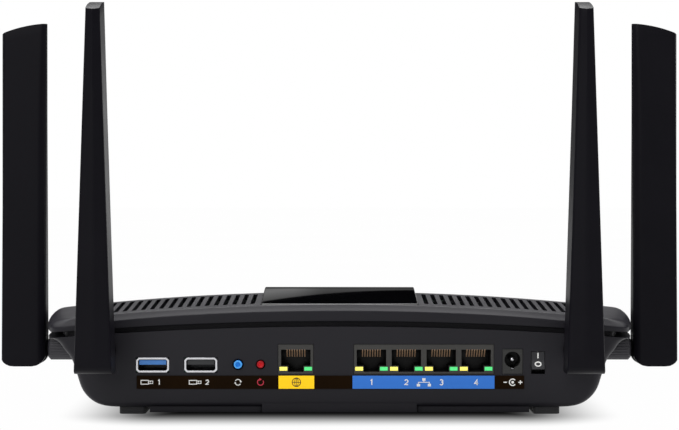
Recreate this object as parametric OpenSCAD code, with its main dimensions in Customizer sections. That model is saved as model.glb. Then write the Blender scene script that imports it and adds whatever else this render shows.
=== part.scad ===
// Four-antenna wireless router, seen with its rear panel towards -Y, +X to the right and +Z up.
// The origin is on the table, midway between the outermost faces in X and in Y.

/* [Body] */
// Depth of the body from the rear panel to the front edge
body_depth = 184; // [176:1:192]
// Half width of the lid at its rear corners
lid_half_rear = 115; // [114:0.2:115]
// How far each side of the lid bows out beyond its rear corners
lid_bow = 8.2; // [7.4:0.2:8.2]
// Height of the feet, which is the gap below the body
foot_h = 3; // [2.8:0.1:4]
// Height of the housing's top edge in the middle of the rear panel
seam_z = 35.1; // [34.5:0.1:36]
// Height of the lid at the ridge that runs from side to side
crown_z = 46.8; // [45.5:0.1:47]
// Distance of the ridge from the rear panel
ridge_d = 48; // [44:1:54]
// Wall thickness of the moulded shells
wall = 2.2; // [1.8:0.1:2.4]
// Height of the shadow groove between housing and lid
groove_h = 2.2; // [1.8:0.1:2.6]

/* [Lid] */
// Number of vent slots on each side of the centre panel
slot_count = 18; // [8:1:18]
// Distance between neighbouring vent slots
slot_pitch = 3.7; // [3.4:0.1:3.8]
// Width of a vent slot
slot_w = 1.8; // [1.4:0.1:2]
// Width of the glossy centre panel
inlay_w = 63.3; // [58:0.1:64]

/* [Antennas] */
// Length of an antenna blade
blade_l = 145.4; // [120:0.2:150]
// Size of a blade along its connector
blade_deep = 19.1; // [18.4:0.1:19.6]
// Thickness of a blade at its base
blade_base_t = 14.7; // [13:0.1:15]
// Thickness of a blade at its tip
blade_tip_t = 5.3; // [5:0.1:7]
// Gap between the body and a blade along the connector
blade_gap = 11; // [11:0.1:12]
// Distance of the rear connectors from the centre line
rear_ant_x = 95.2; // [94:0.1:96]
// Height of the rear connectors above the table
rear_ant_z = 25.8; // [25:0.1:26]
// Distance of the side connectors from the rear panel
side_ant_d = 51; // [48:0.5:54]
// Height of the side connectors above the table
side_ant_z = 22.5; // [22:0.1:23]

/* [Ports] */
// Centre of the internet socket
internet_x = -17.5; // [-18:0.1:-17]
// Centre of the first local network socket
ethernet_x = 12.8; // [12:0.1:13]
// Centre of the first USB socket
usb3_x = -74.8; // [-75.5:0.1:-74]
// Centre of the second USB socket
usb2_x = -55.5; // [-56:0.1:-55]
// Centre of the pairing button
pairing_x = -40.6; // [-41:0.1:-40]
// Centre of the reset button
reset_x = -31.6; // [-32:0.1:-31]
// Centre of the power inlet
dc_x = 69.25; // [69:0.05:69.5]
// Centre of the power switch
switch_x = 79.45; // [79.2:0.05:79.7]

/* [Hidden] */
$fn = 48;
eps = 0.01;
cut = 1;

// Places along Y: the rear antennas stand behind the body, and the whole length is centred on the origin.
length_y = body_depth + blade_gap + blade_deep;
rear_y = blade_gap + blade_deep - length_y / 2;
front_y = rear_y + body_depth;
ridge_y = rear_y + ridge_d;

// Arch radii across the width, and slopes of the lid before and behind its ridge.
seam_radius = 1450;
crown_radius = 1050;
rear_slope = 3.7;
front_slope = 5;

// Plan of the shells: the sides bow out until bow_d, and the front edge is a shallow curve.
bow_d = 62;
front_sag = 7;
tub_bow = 5.8;

// Section of the housing's side: floor corner, leaning side and the cove under the lid.
floor_half = 91.2;
floor_r = 13;
rear_round = 1.2;
rear_round_h = 1.6;
lean_half = 106.7;
lean_z = 21.9;
cove_x = 117.5;
cove_z = 23;
cove_r = 8;
rim_z = cove_z + cove_r * sin(100);
rim_half = cove_x + cove_r * cos(100);
stretch_z = 12.6;
tongue_h = 2.8;
tongue_t = 1.6;
tongue_in = 6;
fit_gap = 0.2;

// Main board.
board_z = 14.6;
board_t = 1.6;
board_top = board_z + board_t;
board_half = 92;
board_rear_y = rear_y + wall + 0.3;
board_front_y = rear_y + 150;

// Standard 8P8C network socket.
jack_w = 14.1;
jack_h = 11.8;
jack_deep = 16;
jack_pitch = 13.97;
jack_face_y = rear_y + 0.2;
plug_w = 11.8;
plug_low = 19.3 - board_top;
plug_high = 25.9 - board_top;
latch_w = 6.2;
latch_low = 0.75;
socket_deep = 13.5;
contact_pitch = 1.016;
led_w = 3.2;
led_h = 1.6;
led_off = 4.95;
led_low = 1.25;

// USB type A.
usb_w = 13.1;
usb_h = 5.9;
usb_z = 16.8;
usb_deep = 14;
usb_t = 0.7;

// Label strip on the rear panel.
label_t = 0.25;
label_low = 10.3;
label_high = 15.5;

// Controls.
button_z = 20;
dc_z = 21.9;
switch_z = 21.05;
switch_half_w = 2.75;
switch_low = 16.2;
switch_high = 25.2;
switch_pivot_y = rear_y + 3.6;
rocker_half = 3.5;
rocker_w = 5.2;
rocker_tilt = 8;

// Antenna connector, measured outwards from the body's mounting face.
thread_r = 3.125;
collar_start = -0.9;
collar_end = blade_gap - 0.8;
recess_deep = 2.1;
boss_deep = 7;
pin_s = blade_gap + blade_deep / 2;
pin_up = 7.3;
pin_r = 1.5;
run_gap = 0.05;
tongue_half = 3;
side_mount_x = 113.6;

// ---------------------------------------------------------------- helpers

function arc_points(cx, cy, r, a0, a1, n) =
    [for (i = [0:n]) let (a = a0 + (a1 - a0) * i / n) [cx + r * cos(a), cy + r * sin(a)]];

function bowed(half, bow, d) = half + bow * (1 - pow(max(0, 1 - d / bow_d), 2));

// Right half of a plan outline, from the middle of the rear edge to the middle of the front edge.
function half_plan(half, bow, rear_in, front_in, rear_r, front_r) =
    let (
        y0 = rear_y + rear_in,
        y1 = front_y - front_in,
        rear_half = bowed(half, bow, rear_in + rear_r),
        front_half = bowed(half, bow, body_depth - front_in - front_r),
        side_to = body_depth - front_in - front_r - front_sag
    )
    concat(
        [for (k = [0:4]) [(rear_half - rear_r) * k / 5, y0]],
        arc_points(rear_half - rear_r, y0 + rear_r, rear_r, -90, 0, 5),
        [for (d = [18, 32, ridge_d, bow_d, 100]) [bowed(half, bow, d), rear_y + d]],
        arc_points(front_half - front_r, rear_y + side_to, front_r, 0, 80, 7),
        [for (k = [4:-1:0]) let (x = (front_half - front_r) * k / 5)
            [x, y1 - front_sag * pow(x / front_half, 2)]]
    );

function whole_plan(right) =
    concat(right, [for (i = [len(right) - 2:-1:1]) [-right[i][0], right[i][1]]]);

function seam(x, y) = seam_z - x * x / (2 * seam_radius) - max(0, y - ridge_y) * tan(front_slope);

function crown(x, y) = crown_z - x * x / (2 * crown_radius)
    - (y < ridge_y ? (ridge_y - y) * tan(rear_slope) : (y - ridge_y) * tan(front_slope));

// Only the housing's upper part is stretched to meet the arched and sloping seam.
function tub_height(x, y, z) = z + (seam(x, y) - rim_z) * max(0, (z - stretch_z) / (rim_z - stretch_z));

function tub_ring(half, rear_in, z, bow = tub_bow, lift = 0) =
    let (front_in = (rim_half - half) * 0.8)
    [for (p = whole_plan(half_plan(half, bow, rear_in, front_in, 4, 34)))
        [p[0], p[1], tub_height(p[0], p[1], z) + lift]];

// A closed solid through a list of rings that all have the same number of points.
module loft(rings) {
    n = len(rings[0]);
    last = len(rings) - 1;
    sides = [for (k = [0:last - 1]) for (i = [0:n - 1]) let (j = (i + 1) % n)
        each [[k * n + i, (k + 1) * n + i, (k + 1) * n + j], [k * n + i, (k + 1) * n + j, k * n + j]]];
    // The caps fan out from the point halfway round, because points along the rear edge are in one line.
    fan = floor(n / 2);
    low_cap = [for (i = [1:n - 2]) [fan, (fan + i) % n, (fan + i + 1) % n]];
    high_cap = [for (f = low_cap) [f[0] + last * n, f[2] + last * n, f[1] + last * n]];
    polyhedron(points = [for (r = rings) each r], faces = concat(sides, low_cap, high_cap), convexity = 8);
}

module along_y(y0, y1) {
    translate([0, y1, 0]) rotate([90, 0, 0]) linear_extrude(y1 - y0) children();
}

module box_between(low, high) {
    translate(low) cube(high - low);
}

module rod(r, y0, y1, x, z) {
    translate([x, y1, z]) rotate([90, 0, 0]) cylinder(r = r, h = y1 - y0);
}

// Round lead through a route's points: one ring of eight points at each of them, square to the route.
module lead(route, r) {
    last = len(route) - 1;
    ahead = [for (i = [0:last]) route[min(i + 1, last)] - route[max(i - 1, 0)]];
    across = [for (a = ahead) let (c = cross(a, [0, 0, 1])) c / norm(c)];
    up = [for (i = [0:last]) let (c = cross(across[i], ahead[i])) c / norm(c)];
    loft([for (i = [0:last])
        [for (k = [0:7]) route[i] + r * (cos(45 * k) * across[i] + sin(45 * k) * up[i])]]);
}

// ---------------------------------------------------------------- body shells

// How far the rear face draws in near the floor.
function rear_curl(z) = rear_round * pow(max(0, 1 - (z - foot_h) / rear_round_h), 2);

module tub_shell() {
    tongue_half = lid_half_rear - tongue_in;
    tongue_rear = wall + fit_gap;
    inner_half = tongue_half - tongue_t;
    inner_rear = tongue_rear + tongue_t;
    outer = concat(
        [for (a = [0:18:72]) let (z = foot_h + floor_r - floor_r * cos(a))
            tub_ring(floor_half + floor_r * sin(a), rear_curl(z), z)],
        [tub_ring(lean_half, 0, lean_z)],
        [for (a = [155, 128, 100]) tub_ring(cove_x + cove_r * cos(a), 0, cove_z + cove_r * sin(a))]
    );
    tongue = [
        tub_ring(tongue_half, tongue_rear, rim_z, lid_bow),
        tub_ring(tongue_half, tongue_rear, rim_z, lid_bow, tongue_h),
        tub_ring(inner_half, inner_rear, rim_z, lid_bow, tongue_h),
    ];
    inner = concat(
        [tub_ring(inner_half, inner_rear, rim_z, lid_bow, -wall / 2)],
        [tub_ring(cove_x + (cove_r + wall) * cos(155), wall, cove_z + (cove_r - wall) * sin(155))],
        [tub_ring(lean_half - wall, wall, lean_z)],
        [for (a = [72:-18:0]) tub_ring(floor_half + (floor_r - wall) * sin(a), wall,
            foot_h + floor_r - (floor_r - wall) * cos(a))]
    );
    loft(concat(outer, tongue, inner));
}

module screw_places(z) {
    for (x = [-82, 82], y = [rear_y + 19, front_y - 34]) translate([x, y, z]) children();
}

module board_screw_places(z) {
    for (x = [-45, 45], y = [rear_y + 45, rear_y + 138]) translate([x, y, z]) children();
}

module foot_places(z) {
    for (x = [-83, 83], y = [rear_y + 13, front_y - 36]) translate([x, y, z]) children();
}

module panel_openings() {
    gap = 0.1;
    box_between([internet_x - jack_w / 2 - gap, rear_y - cut, board_top - gap],
        [internet_x + jack_w / 2 + gap, rear_y + wall + cut, board_top + jack_h + gap]);
    box_between([ethernet_x - jack_w / 2 - gap, rear_y - cut, board_top - gap],
        [ethernet_x + 3 * jack_pitch + jack_w / 2 + gap, rear_y + wall + cut, board_top + jack_h + gap]);
    for (x = [usb3_x, usb2_x])
        box_between([x - usb_w / 2 - gap, rear_y - cut, usb_z - gap],
            [x + usb_w / 2 + gap, rear_y + wall + cut, usb_z + usb_h + gap]);
    box_between([dc_x - 4.15, rear_y - cut, board_top - gap], [dc_x + 4.15, rear_y + wall + cut, 26.2]);
    box_between([switch_x - switch_half_w, rear_y - cut, switch_low],
        [switch_x + switch_half_w, rear_y + wall + cut, switch_high]);
    rod(1.75, rear_y - cut, rear_y + wall + cut, pairing_x, button_z);
    rod(2.2, rear_y - cut, rear_y + 0.6, pairing_x, button_z);
    rod(1.5, rear_y - cut, rear_y + wall + cut, reset_x, button_z);
    rod(1.9, rear_y - cut, rear_y + 0.6, reset_x, button_z);
}

// A low block under the middle of the rear panel carries it almost down to the table.
plinth_half = 31;
plinth_low = 0.8;
strip_half = 76;
strip_in = 1;

module bottom_housing() {
    color([0.18, 0.176, 0.192])
    difference() {
        union() {
            tub_shell();
            screw_places(foot_h + wall - 0.2) cylinder(r = 3.6, h = 9.6);
            board_screw_places(foot_h + wall - 0.2) cylinder(r = 3.4, h = board_z - foot_h - wall + 0.2);
            at_all_mounts()
                turned([[-boss_deep, 0], [-boss_deep, 6.8], [-recess_deep, 6.8], [-recess_deep, 0]]);
            box_between([-plinth_half, rear_y + 0.3, plinth_low], [plinth_half, rear_y + 14, foot_h + 1.5]);
            box_between([-plinth_half, rear_y + 0.3, plinth_low], [plinth_half, rear_y + 2, foot_h + 4]);
            box_between([-strip_half, rear_y + strip_in, plinth_low], [strip_half, rear_y + 12, foot_h + 1.5]);
        }
        panel_openings();
        screw_places(foot_h - cut) cylinder(r = 1.7, h = 14);
        screw_places(foot_h - cut) cylinder(r = 3.1, h = 3.4 + cut);
        board_screw_places(foot_h + wall + 1) cylinder(r = 1.2, h = 12);
        foot_places(foot_h - cut) foot_outline(cut + 0.6, 0.05);
        at_all_mounts() {
            turned([[-recess_deep, 0], [-recess_deep, 5.6], [12, 5.6], [12, 0]]);
            turned([[-12, 0], [-12, thread_r + run_gap], [0, thread_r + run_gap], [0, 0]]);
        }
        for (x = [-54:6:54], y = [rear_y + 62, rear_y + 100])
            box_between([x - 1, y, foot_h - cut], [x + 1, y + 26, foot_h + wall + cut]);
    }
}

function lid_lower(x, y) = seam(x, y) + groove_h;

// The lid's edge as [share inward, share upward], from the top of the upright skirt to the start of the top.
lid_band = [[0, 0], [0.04, 0.13], [0.5, 0.53], [0.86, 0.89], [1, 1]];

function lid_edge_ring(at, skin) =
    let (
        side_in = 7 * (1 - sqrt(1 - at[0] * at[0])) + skin,
        rear_in = 2.6 * at[0] + skin,
        front_in = 6 * at[0] + skin
    )
    [for (p = whole_plan(half_plan(lid_half_rear - side_in, lid_bow, rear_in, front_in, 7, 38)))
        let (
            low = lid_lower(p[0], p[1]),
            top = crown(p[0], p[1]) - skin,
            share = 0.6 - 0.3 * pow(abs(p[0]) / lid_half_rear, 4),
            skirt = low + share * (top - low)
        )
        [p[0], p[1], skirt + (top - skirt) * at[1]]];

function lid_low_ring(skin) =
    [for (p = whole_plan(half_plan(lid_half_rear - skin, lid_bow, skin, skin, 7, 38)))
        [p[0], p[1], lid_lower(p[0], p[1])]];

// Ring on the lid's top, drawn in towards the ridge line.
function lid_top_ring(k, skin) =
    [for (p = whole_plan(half_plan(lid_half_rear - 7 - skin, lid_bow, 2.6 + skin, 6 + skin, 7, 38)))
        let (x = p[0] * k, y = ridge_y + (p[1] - ridge_y) * k)
        [x, y, crown(x, y) - skin]];

module lid_shell() {
    loft(concat(
        [for (k = [0.2, 0.5, 0.78]) lid_top_ring(k, wall)],
        [for (i = [4, 2, 0]) lid_edge_ring(lid_band[i], wall)],
        [lid_low_ring(wall), lid_low_ring(0)],
        [for (at = lid_band) lid_edge_ring(at, 0)],
        [for (k = [0.78, 0.5, 0.2]) lid_top_ring(k, 0)]
    ));
}

// Side view of the centre panel, as [Y, Z] points. The recess under it has the same floor.
inlay_rear_y = rear_y + 4;
inlay_front_y = front_y - 9;
inlay_rise = 1.75;
inlay_sink = 1.1;
inlay_floor = [
    [inlay_rear_y, crown(0, inlay_rear_y) - inlay_sink],
    [ridge_y, crown_z - inlay_sink],
    [inlay_front_y, crown(0, inlay_front_y) - inlay_sink],
];

module inlay_profile() {
    polygon(concat(
        [[inlay_rear_y, crown(0, inlay_rear_y)], [ridge_y - 1, crown_z + inlay_rise]],
        [[ridge_y + 3, crown_z + inlay_rise]],
        [[inlay_front_y - 4, crown(0, inlay_front_y - 4) + inlay_rise]],
        [[inlay_front_y, crown(0, inlay_front_y)]],
        [inlay_floor[2], inlay_floor[1], inlay_floor[0]]
    ));
}

module across_x(half) {
    translate([-half, 0, 0]) rotate([90, 0, 90]) linear_extrude(2 * half) children();
}

module top_cover() {
    first_slot = inlay_w / 2 + 3.6;
    slot_spans = [[-39, -6], [6, 107]];
    color([0.345, 0.341, 0.36])
    difference() {
        union() {
            lid_shell();
            intersection() {
                union() {
                    for (y = [ridge_y - 6, ridge_y + 40, ridge_y + 82])
                        box_between([-106, y - 1, crown(100, y) - wall - 3.5], [106, y + 1, crown_z]);
                    screw_places(15.6) cylinder(r = 3.4, h = 30);
                }
                under_roof(30);
            }
        }
        across_x(inlay_w / 2 + 0.1) polygon([
            inlay_floor[0] + [-0.1, -0.05], inlay_floor[0] + [-0.1, 6], inlay_floor[1] + [0, 6],
            inlay_floor[2] + [0.1, 6], inlay_floor[2] + [0.1, -0.05], inlay_floor[1] + [0, -0.05],
        ]);
        translate([0, 0, crown_z - 60]) linear_extrude(70)
            for (s = [-1, 1], i = [0:slot_count - 1], span = slot_spans)
                translate([s * (first_slot + i * slot_pitch) - slot_w / 2, ridge_y + span[0]])
                    square([slot_w, span[1] - span[0]]);
        screw_places(14) cylinder(r = 1.35, h = 14);
    }
}

// The space below the lid's skin, reaching a little into it so that ribs and bosses join it.
module under_roof(deep) {
    bite = wall - 0.3;
    loft(concat(
        [[for (p = lid_top_ring(0.97, bite)) [p[0], p[1], p[2] - deep]]],
        [for (k = [0.97, 0.78, 0.5, 0.2]) lid_top_ring(k, bite)]
    ));
}

module center_inlay() {
    color([0.03, 0.03, 0.035])
    difference() {
        across_x(inlay_w / 2) inlay_profile();
        status_pocket(0.05, cut);
    }
}

// Small lens let into the centre panel near its front end.
module status_pocket(gap, above) {
    y = inlay_front_y - 16;
    translate([0, y, crown(0, y) + inlay_rise]) rotate([-front_slope, 0, 0])
        translate([0, 0, -1.2 - gap]) linear_extrude(1.2 + gap + above)
            union() {
                square([10 + 2 * gap, 2 + 2 * gap], center = true);
                for (s = [-1, 1]) translate([5 * s, 0]) circle(r = 1 + gap);
            }
}

module status_lens() {
    color([0.85, 0.9, 0.95]) status_pocket(0, 0);
}

module label_area(span) {
    box_between([span[0] + eps, rear_y - label_t, label_low], [span[1] - eps, rear_y, label_high]);
}

internet_label_x = [-24.4, -10.1];
ethernet_label_x = [5.2, 62];

module port_label_strip() {
    color([0.1, 0.06, 0.01])
    difference() {
        box_between([-81.1, rear_y - label_t, label_low], [73.8, rear_y, label_high]);
        box_between([internet_label_x[0], rear_y - cut, label_low - cut],
            [internet_label_x[1], rear_y + cut, label_high + cut]);
        box_between([ethernet_label_x[0], rear_y - cut, label_low - cut],
            [ethernet_label_x[1], rear_y + cut, label_high + cut]);
    }
}

module internet_label() {
    color([1, 0.82, 0.12]) label_area(internet_label_x);
}

module ethernet_label() {
    color([0.23, 0.48, 0.85]) label_area(ethernet_label_x);
}

module foot_outline(h, gap) {
    linear_extrude(h)
        union() {
            square([10.6 + 2 * gap, 19.6], center = true);
            square([7.6, 22.6 + 2 * gap], center = true);
            for (x = [-3.8, 3.8], y = [-9.8, 9.8]) translate([x, y]) circle(r = 1.5 + gap);
        }
}

module rubber_feet() {
    color([0.09, 0.09, 0.095]) foot_places(0) foot_outline(foot_h + 0.6, 0);
}

module case_screws() {
    color([0.55, 0.55, 0.57])
    screw_places(foot_h + 0.9)
        difference() {
            union() {
                cylinder(r = 2.9, h = 2.5);
                cylinder(r = 1.5, h = 22);
            }
            translate([0, 0, -cut]) linear_extrude(cut + 1.3)
                union() {
                    square([3.2, 0.7], center = true);
                    square([0.7, 3.2], center = true);
                }
        }
}

// ---------------------------------------------------------------- electronics

module main_board() {
    color([0.05, 0.25, 0.16])
    difference() {
        box_between([-board_half, board_rear_y, board_z], [board_half, board_front_y, board_top]);
        screw_places(board_z - cut) cylinder(r = 4.2, h = board_t + 2 * cut);
        board_screw_places(board_z - cut) cylinder(r = 1.7, h = board_t + 2 * cut);
        box_between([74, board_rear_y - cut, board_z - cut], [85.2, rear_y + 17, board_top + cut]);
    }
}

module board_screws() {
    color([0.7, 0.68, 0.6])
    board_screw_places(board_top)
        difference() {
            union() {
                cylinder(r = 2.8, h = 2);
                translate([0, 0, -8]) cylinder(r = 1.5, h = 8 + eps);
            }
            translate([0, 0, 1]) linear_extrude(cut + 1)
                union() {
                    square([3, 0.7], center = true);
                    square([0.7, 3], center = true);
                }
        }
}

can_size = [34, 26, 2.6];
can_places = [[-52, rear_y + 72], [0, rear_y + 60], [52, rear_y + 72], [0, rear_y + 104]];

module shield_cans() {
    color([0.75, 0.75, 0.76])
    for (p = can_places)
        translate([p[0], p[1], board_top])
            difference() {
                translate([-can_size[0] / 2, -can_size[1] / 2, 0]) cube(can_size);
                translate([1 - can_size[0] / 2, 1 - can_size[1] / 2, -cut])
                    cube(can_size + [-2, -2, cut - 0.4]);
            }
}

pad_t = 0.8;

module thermal_pads() {
    color([0.55, 0.6, 0.75])
    for (p = [can_places[1], can_places[3]])
        translate([p[0] - 11, p[1] - 9, board_top + can_size[2]]) cube([22, 18, pad_t]);
}

module heatsink() {
    low = board_top + can_size[2] + pad_t;
    color([0.62, 0.63, 0.65])
    translate([-32, rear_y + 44, low])
        union() {
            cube([64, 78, 2]);
            for (i = [0:12]) translate([i * (64 - 1.2) / 12, 0, 2 - eps]) cube([1.2, 78, 7]);
        }
}

// Network socket cavity, around its own centre: x across, y inwards from the face, z up from the board.
module jack_cavity() {
    translate([-plug_w / 2, -cut, plug_low]) cube([plug_w, socket_deep + cut, plug_high - plug_low]);
    translate([-latch_w / 2, -cut, latch_low])
        cube([latch_w, socket_deep + cut, plug_low - latch_low + eps]);
    for (s = [-1, 1])
        translate([s * led_off - led_w / 2, -cut, led_low]) cube([led_w, 1.5 + cut, led_h]);
}

module jack_row(count) {
    difference() {
        translate([-jack_w / 2, 0, 0]) cube([jack_w + (count - 1) * jack_pitch, jack_deep, jack_h]);
        for (i = [0:count - 1]) translate([i * jack_pitch, 0, 0]) jack_cavity();
    }
}

jack_xs = [internet_x, for (i = [0:3]) ethernet_x + i * jack_pitch];

module internet_jack() {
    color([0.29, 0.29, 0.28]) translate([internet_x, jack_face_y, board_top]) jack_row(1);
}

module ethernet_jack_block() {
    color([0.29, 0.29, 0.28]) translate([ethernet_x, jack_face_y, board_top]) jack_row(4);
}

module network_contacts() {
    rise = plug_high - 0.35;
    color([0.8, 0.6, 0.25])
    for (x = jack_xs, i = [-3.5:3.5])
        translate([x + i * contact_pitch - 0.22, jack_face_y, board_top])
            rotate([90, 0, 90]) linear_extrude(0.44)
                polygon([[1.6, rise], [1.6, rise + 0.3], [2, rise + 0.3], [5.3, rise - 2.6],
                    [5.2, rise - 2.9], [4.8, rise - 2.9]]);
}

module jack_leds(side) {
    for (x = jack_xs)
        translate([x + side * led_off - led_w / 2 + 0.05, jack_face_y + 0.1, board_top + led_low + 0.05])
            cube([led_w - 0.1, 1.3, led_h - 0.1]);
}

module link_leds_yellow() {
    color([1, 0.95, 0.5]) jack_leds(-1);
}

module link_leds_green() {
    color([0.37, 0.88, 0.54]) jack_leds(1);
}

module usb_shell(x) {
    color([0.83, 0.84, 0.85])
    translate([x, 0, usb_z])
        difference() {
            along_y(rear_y, rear_y + usb_deep) usb_outline(0);
            along_y(rear_y - cut, rear_y + usb_deep - 0.4) usb_outline(usb_t);
        }
}

module usb_outline(inset) {
    w = usb_w / 2 - inset;
    c = 1 - inset * 0.6;
    polygon([[-w, inset + c], [-w + c, inset], [w - c, inset], [w, inset + c],
        [w, usb_h - inset - c], [w - c, usb_h - inset], [-w + c, usb_h - inset], [-w, usb_h - inset - c]]);
}

module usb_tongue(x, tone) {
    color(tone)
    box_between([x - 5.4, rear_y + 0.8, usb_z + 3.05], [x + 5.4, rear_y + usb_deep - 0.4, usb_z + 4.9]);
}

module usb3_shell() {
    usb_shell(usb3_x);
}

module usb2_shell() {
    usb_shell(usb2_x);
}

module usb3_tongue() {
    usb_tongue(usb3_x, [0.25, 0.45, 0.71]);
}

module usb2_tongue() {
    usb_tongue(usb2_x, [0.2, 0.2, 0.21]);
}

module usb_contacts() {
    color([0.85, 0.66, 0.3])
    for (x = [usb3_x, usb2_x], i = [-1.5:1.5])
        box_between([x + i * 2.4 - 0.5, rear_y + 3, usb_z + 2.93],
            [x + i * 2.4 + 0.5, rear_y + 9, usb_z + 3.05]);
}

module dc_jack() {
    color([0.23, 0.23, 0.225])
    difference() {
        box_between([dc_x - 4.05, rear_y + 0.3, board_top], [dc_x + 4.05, rear_y + 14.2, 26.1]);
        rod(3.2, rear_y - cut, rear_y + 11.5, dc_x, dc_z);
        rod(1.05, rear_y, rear_y + 13.7, dc_x, dc_z);
        box_between([dc_x - 0.7, rear_y - cut, dc_z - 4.2], [dc_x + 0.7, rear_y + 11.5, dc_z]);
    }
}

module dc_jack_pin() {
    color([0.78, 0.78, 0.8])
    union() {
        rod(1.05, rear_y + 2.4, rear_y + 13.6, dc_x, dc_z);
        translate([dc_x, rear_y + 2.4, dc_z]) sphere(r = 1.05);
    }
}

// A bent leaf, low at both ends and bowed into the bore to press on a plug.
module dc_jack_spring() {
    color([0.8, 0.8, 0.82])
    translate([dc_x - 0.55, rear_y, dc_z]) rotate([90, 0, 90]) linear_extrude(1.1)
        polygon([[2, -4], [2, -3.7], [6, -2.6], [11.4, -3.7], [11.4, -4], [6, -2.9]]);
}

// ---------------------------------------------------------------- controls

module power_switch_housing() {
    gap = 0.15;
    inner = rocker_w / 2 + gap;
    color([0.1, 0.1, 0.105])
    difference() {
        box_between([switch_x - 4.8, rear_y + wall + 0.05, switch_low - 1.5],
            [switch_x + 4.8, rear_y + 14, switch_high + 1.2]);
        box_between([switch_x - inner, rear_y, switch_low],
            [switch_x + inner, rear_y + 9.5, switch_high]);
        translate([switch_x - 4, switch_pivot_y, switch_z]) rotate([0, 90, 0])
            cylinder(r = 0.8 + run_gap, h = 8);
    }
}

// Both halves of the face slope away from the middle by the rocker's tilt.
module power_rocker() {
    deep = 3.3;
    lift = rocker_half * tan(rocker_tilt);
    color([0.16, 0.16, 0.17])
    translate([switch_x, switch_pivot_y, switch_z])
        rotate([-rocker_tilt, 0, 0])
            union() {
                translate([-rocker_w / 2, 0, 0]) rotate([90, 0, 90]) linear_extrude(rocker_w)
                    union() {
                        polygon([[-deep, 0], [-deep - lift, rocker_half], [-deep + 1.6, rocker_half],
                            [-1.2, 1.8], [-1.2, -1.8], [-deep + 1.6, -rocker_half],
                            [-deep - lift, -rocker_half]]);
                        circle(r = 2);
                    }
                translate([-3.9, 0, 0]) rotate([0, 90, 0]) cylinder(r = 0.8, h = 7.8);
            }
}

// A push button in the panel: cap, retaining collar and the stem that meets its switch.
module panel_button(x, r, proud) {
    rod(r, rear_y - proud, rear_y + wall + 0.3, x, button_z);
    rod(r + 0.9, rear_y + wall + 0.1, rear_y + wall + 0.9, x, button_z);
    rod(0.9, rear_y + wall + 0.5, rear_y + 4.6, x, button_z);
}

module pairing_button() {
    color([0.23, 0.63, 0.96]) union() panel_button(pairing_x, 1.7, 1);
}

module reset_button() {
    color([0.89, 0.13, 0.17]) union() panel_button(reset_x, 1.45, 0.7);
}

module tact_switches() {
    color([0.12, 0.12, 0.13])
    for (x = [pairing_x, reset_x])
        box_between([x - 3, rear_y + 5.6, board_top], [x + 3, rear_y + 9.6, board_top + 6.6]);
}

// ---------------------------------------------------------------- antennas

// Connector frame: +X points out of the body along the connector, +Z is up, and the blade stands upright.
module at_rear(s) {
    translate([s * rear_ant_x, rear_y, rear_ant_z]) rotate([0, 0, -90]) children();
}

module at_side(s) {
    translate([s * side_mount_x, rear_y + side_ant_d, side_ant_z]) rotate([0, 0, s > 0 ? 0 : 180]) children();
}

module at_all_mounts() {
    for (s = [-1, 1]) {
        at_rear(s) children();
        at_side(s) children();
    }
}

module turned(points) {
    rotate([0, 90, 0]) rotate_extrude() polygon([for (p = points) [p[1], p[0]]]);
}

// Points are [distance out from the mounting face, radius].
module antenna_sockets() {
    color([0.72, 0.6, 0.3])
    at_all_mounts()
        difference() {
            union() {
                turned([[-10, 0], [-10, thread_r], [7, thread_r], [7, 0]]);
                turned([[-recess_deep, 0], [-recess_deep, 4.8], [-1.1, 4.8], [-1.1, 0]]);
            }
            turned([[2, 0], [2, 1.5], [9, 1.5], [9, 0]]);
        }
}

module socket_nuts() {
    color([0.6, 0.6, 0.62])
    at_all_mounts()
        difference() {
            translate([-boss_deep - 1.8, 0, 0]) rotate([0, 90, 0]) cylinder(r = 4.9, h = 1.8, $fn = 6);
            translate([-boss_deep - 3, 0, 0]) rotate([0, 90, 0]) cylinder(r = thread_r + 0.02, h = 4);
        }
}

// Each lead leaves the back of its socket straight, then bends down to a shield can.
module coax_leads() {
    lead_r = 0.7;
    can_top = board_top + can_size[2] + lead_r + 0.1;
    color([0.2, 0.2, 0.2])
    for (s = [-1, 1]) {
        lead([for (p = [[rear_ant_x, 10.1, rear_ant_z], [rear_ant_x, 32, rear_ant_z], [92, 44, 25],
            [80, 54, 22], [60, 62, can_top]]) [s * p[0], rear_y + p[1], p[2]]], lead_r);
        lead([for (p = [[side_mount_x - 10.1, side_ant_d, side_ant_z], [94, side_ant_d, side_ant_z],
            [84, 56, 22], [76, 66, 20.5], [62, 76, can_top]]) [s * p[0], rear_y + p[1], p[2]]], lead_r);
    }
}

module collar() {
    grooves = 24;
    color([0.27, 0.265, 0.29])
    difference() {
        intersection() {
            translate([collar_start, 0, 0]) rotate([0, 90, 0]) linear_extrude(collar_end - collar_start)
                difference() {
                    circle(r = 5);
                    for (i = [0:grooves - 1]) rotate(i * 360 / grooves) translate([5.1, 0]) circle(r = 0.35);
                }
            turned([[collar_start, 0], [collar_start, 4.5], [collar_start + 0.5, 5.2],
                [collar_end - 1.1, 5.2], [collar_end, 4.1], [collar_end, 0]]);
        }
        turned([[collar_start - cut, 0], [collar_start - cut, thread_r + 0.075], [7.2, thread_r + 0.075],
            [7.2, 3.9], [8.6, 3.9], [8.6, 3], [12, 3], [12, 0]]);
    }
}

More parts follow.
